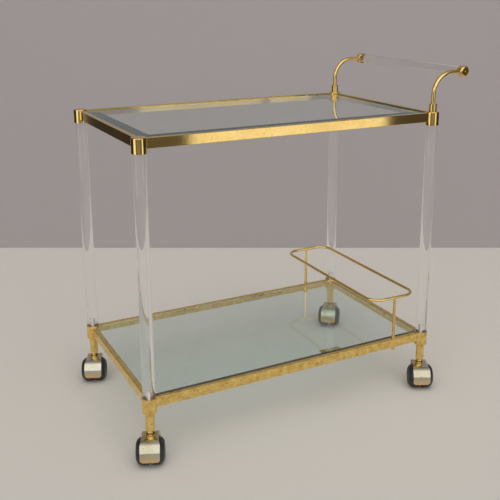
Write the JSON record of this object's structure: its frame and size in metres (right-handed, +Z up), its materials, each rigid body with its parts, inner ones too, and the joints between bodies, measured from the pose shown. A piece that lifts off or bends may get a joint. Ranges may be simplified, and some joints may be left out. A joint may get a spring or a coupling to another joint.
{
  "type": "bar cart",
  "caption": "Bar cart with brass-railed glass shelves on clear acrylic posts, a gooseneck push bar, a bottle gallery and hooded swivel casters.",
  "frame": {"origin": "on the floor, under the middle of the whole cart's box with the casters as they stand", "axes": "+X along the cart towards its push bar, +Y towards the rear long side, +Z up"},
  "size_m": [0.8014, 0.4626, 0.7465],
  "materials": {
    "polished_brass": "polished, lightly tarnished",
    "aged_brass": "dulled and pitted",
    "caster_brass": "pale polished plating",
    "acrylic": "clear, polished",
    "shelf_glass": "clear float glass, green at the edge",
    "wheel_black": "satin black",
    "steel": "plain steel",
    "clear_pad": "clear soft vinyl"
  },
  "bodies": {
    "frame": {"upper_front_rail": "polished_brass", "upper_rear_rail": "polished_brass", "upper_left_rail": "polished_brass", "upper_right_rail": "polished_brass", "lower_front_rail": "aged_brass", "lower_rear_rail": "aged_brass", "lower_left_rail": "aged_brass", "lower_right_rail": "aged_brass", "front_left_cap": "polished_brass", "front_right_cap": "polished_brass", "rear_left_cap": "polished_brass", "rear_right_cap": "polished_brass", "front_left_socket": "aged_brass", "front_right_socket": "aged_brass", "rear_left_socket": "aged_brass", "rear_right_socket": "aged_brass", "front_left_post": "acrylic", "front_right_post": "acrylic", "rear_left_post": "acrylic", "rear_right_post": "acrylic", "post_studs": "steel", "upper_glass": "shelf_glass", "lower_glass": "shelf_glass", "glass_tabs": "polished_brass", "glass_pads": "clear_pad", "front_handle_collar": "polished_brass", "rear_handle_collar": "polished_brass", "front_handle_neck": "polished_brass", "rear_handle_neck": "polished_brass", "front_handle_cup": "polished_brass", "rear_handle_cup": "polished_brass", "handle_bar": "acrylic", "gallery_loop": "polished_brass", "front_gallery_post": "polished_brass", "rear_gallery_post": "polished_brass", "gallery_feet": "polished_brass", "gallery_nuts": "polished_brass", "caster_sleeves": "aged_brass"},
    "front_left_caster": {"front_left_caster_hood": "caster_brass", "front_left_caster_stem": "caster_brass", "front_left_caster_axle": "steel"},
    "front_left_wheel_a": {"front_left_wheel_a": "wheel_black"},
    "front_left_wheel_b": {"front_left_wheel_b": "wheel_black"},
    "front_right_caster": {"front_right_caster_hood": "caster_brass", "front_right_caster_stem": "caster_brass", "front_right_caster_axle": "steel"},
    "front_right_wheel_a": {"front_right_wheel_a": "wheel_black"},
    "front_right_wheel_b": {"front_right_wheel_b": "wheel_black"},
    "rear_left_caster": {"rear_left_caster_hood": "caster_brass", "rear_left_caster_stem": "caster_brass", "rear_left_caster_axle": "steel"},
    "rear_left_wheel_a": {"rear_left_wheel_a": "wheel_black"},
    "rear_left_wheel_b": {"rear_left_wheel_b": "wheel_black"},
    "rear_right_caster": {"rear_right_caster_hood": "caster_brass", "rear_right_caster_stem": "caster_brass", "rear_right_caster_axle": "steel"},
    "rear_right_wheel_a": {"rear_right_wheel_a": "wheel_black"},
    "rear_right_wheel_b": {"rear_right_wheel_b": "wheel_black"}
  },
  "joints": [
    {"name": "front_left_swivel", "type": "hinge", "parent": "frame", "child": "front_left_caster", "pos_m": [-0.36181, -0.18184, 0.085], "axis": [0, 0, 1], "continuous": true},
    {"name": "front_left_wheel_a_spin", "type": "hinge", "parent": "front_left_caster", "child": "front_left_wheel_a", "pos_m": [-0.38316, -0.19016, 0.0275], "axis": [0.9205, -0.3907, 0], "continuous": true},
    {"name": "front_left_wheel_b_spin", "type": "hinge", "parent": "front_left_caster", "child": "front_left_wheel_b", "pos_m": [-0.35297, -0.20298, 0.0275], "axis": [0.9205, -0.3907, 0], "continuous": true},
    {"name": "front_right_swivel", "type": "hinge", "parent": "frame", "child": "front_right_caster", "pos_m": [0.30819, -0.18184, 0.085], "axis": [0, 0, 1], "continuous": true},
    {"name": "front_right_wheel_a_spin", "type": "hinge", "parent": "front_right_caster", "child": "front_right_wheel_a", "pos_m": [0.28619, -0.18827, 0.0275], "axis": [0.8829, -0.4695, 0], "continuous": true},
    {"name": "front_right_wheel_b_spin", "type": "hinge", "parent": "front_right_caster", "child": "front_right_wheel_b", "pos_m": [0.31516, -0.20367, 0.0275], "axis": [0.8829, -0.4695, 0], "continuous": true},
    {"name": "rear_left_swivel", "type": "hinge", "parent": "frame", "child": "rear_left_caster", "pos_m": [-0.36181, 0.21016, 0.085], "axis": [0, 0, 1], "continuous": true},
    {"name": "rear_left_wheel_a_spin", "type": "hinge", "parent": "rear_left_caster", "child": "rear_left_wheel_a", "pos_m": [-0.38316, 0.20184, 0.0275], "axis": [0.9205, -0.3907, 0], "continuous": true},
    {"name": "rear_left_wheel_b_spin", "type": "hinge", "parent": "rear_left_caster", "child": "rear_left_wheel_b", "pos_m": [-0.35297, 0.18902, 0.0275], "axis": [0.9205, -0.3907, 0], "continuous": true},
    {"name": "rear_right_swivel", "type": "hinge", "parent": "frame", "child": "rear_right_caster", "pos_m": [0.30819, 0.21016, 0.085], "axis": [0, 0, 1], "continuous": true},
    {"name": "rear_right_wheel_a_spin", "type": "hinge", "parent": "rear_right_caster", "child": "rear_right_wheel_a", "pos_m": [0.28537, 0.20805, 0.0275], "axis": [0.7771, -0.6293, 0], "continuous": true},
    {"name": "rear_right_wheel_b_spin", "type": "hinge", "parent": "rear_right_caster", "child": "rear_right_wheel_b", "pos_m": [0.31086, 0.1874, 0.0275], "axis": [0.7771, -0.6293, 0], "continuous": true}
  ]
}
